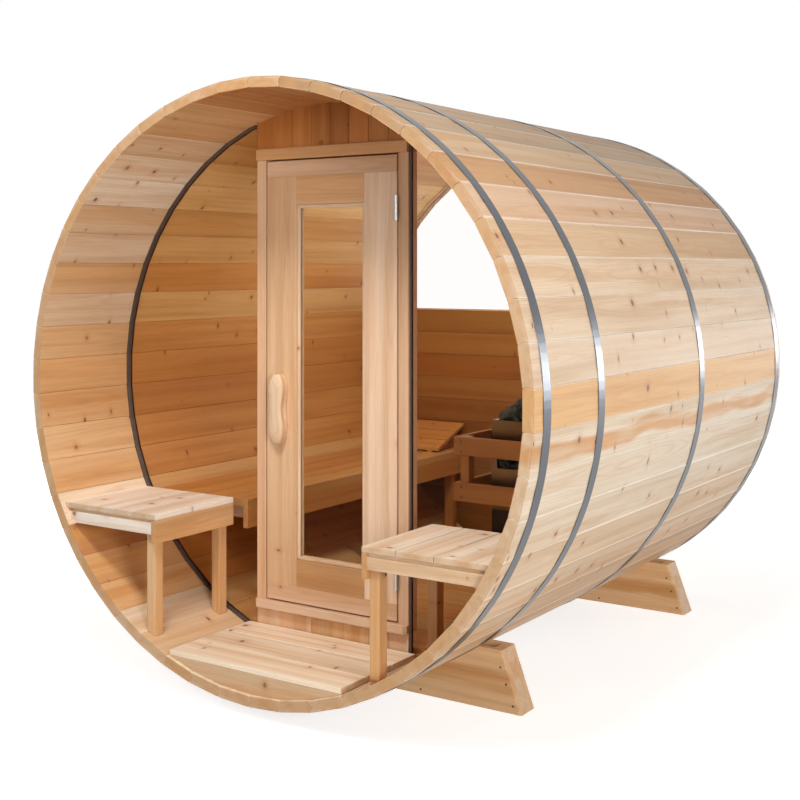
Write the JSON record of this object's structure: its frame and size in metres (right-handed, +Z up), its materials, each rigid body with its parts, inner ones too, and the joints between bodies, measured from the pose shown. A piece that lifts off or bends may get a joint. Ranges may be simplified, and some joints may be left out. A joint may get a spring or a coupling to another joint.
{
  "type": "barrel sauna",
  "caption": "Timber barrel sauna of coopered staves on two cradles, with steel bands, a glazed front wall and door, benched porch and half-moon rear window.",
  "frame": {"origin": "on the ground, below the middle of the barrel", "axes": "+X to the right of someone facing the door, +Y from the porch to the rear wall along the barrel, +Z up"},
  "size_m": [2.1322, 2.43, 2.1732],
  "materials": {
    "stave_wood": "planed softwood",
    "band_steel": "brushed stainless",
    "frame_wood": "planed softwood",
    "door_wood": "planed softwood",
    "floor_wood": "planed softwood",
    "bench_wood": "planed softwood",
    "cradle_wood": "planed softwood",
    "tinted_glass": "bronze tinted",
    "channel_rubber": "dark matt",
    "hinge_steel": "brushed stainless",
    "heater_steel": "dark satin",
    "stone": "rough"
  },
  "bodies": {
    "sauna": {"bench_bearers": "bench_wood", "bench_legs": "bench_wood", "cradle_boards": "cradle_wood", "cradle_end_blocks": "cradle_wood", "door_head": "frame_wood", "door_jambs": "frame_wood", "door_sill": "frame_wood", "door_stops": "frame_wood", "floor_joists": "floor_wood", "frame_hinge_leaves": "hinge_steel", "front_header": "frame_wood", "front_kickboard": "frame_wood", "glass_channels": "channel_rubber", "headrest": "bench_wood", "heater_body": "heater_steel", "heater_guard": "bench_wood", "heater_stones": "stone", "porch_bench_aprons": "bench_wood", "porch_bench_boards": "bench_wood", "porch_bench_fascias": "bench_wood", "porch_floor": "floor_wood", "rear_glass": "tinted_glass", "rear_wall": "frame_wood", "room_bench_boards": "bench_wood", "room_bench_fascia": "bench_wood", "room_floor": "floor_wood", "side_glass": "tinted_glass", "staves_floor_left": "stave_wood", "staves_floor_right": "stave_wood", "staves_left_lower": "stave_wood", "staves_left_side": "stave_wood", "staves_left_upper": "stave_wood", "staves_right_lower": "stave_wood", "staves_right_side": "stave_wood", "staves_right_upper": "stave_wood", "staves_roof_left": "stave_wood", "staves_roof_right": "stave_wood", "steel_bands": "band_steel"},
    "door": {"door_glass": "tinted_glass", "door_stiles": "door_wood", "door_cap_rails": "door_wood", "door_rails": "door_wood", "door_glazing_beads": "door_wood", "door_handles": "door_wood", "door_hinge_leaves": "hinge_steel"}
  },
  "joints": [
    {"name": "door_hinge", "type": "hinge", "parent": "sauna", "child": "door", "pos_m": [0.2955, -0.748, 0], "axis": [0, 0, 1], "range_deg": [0, 100]}
  ]
}
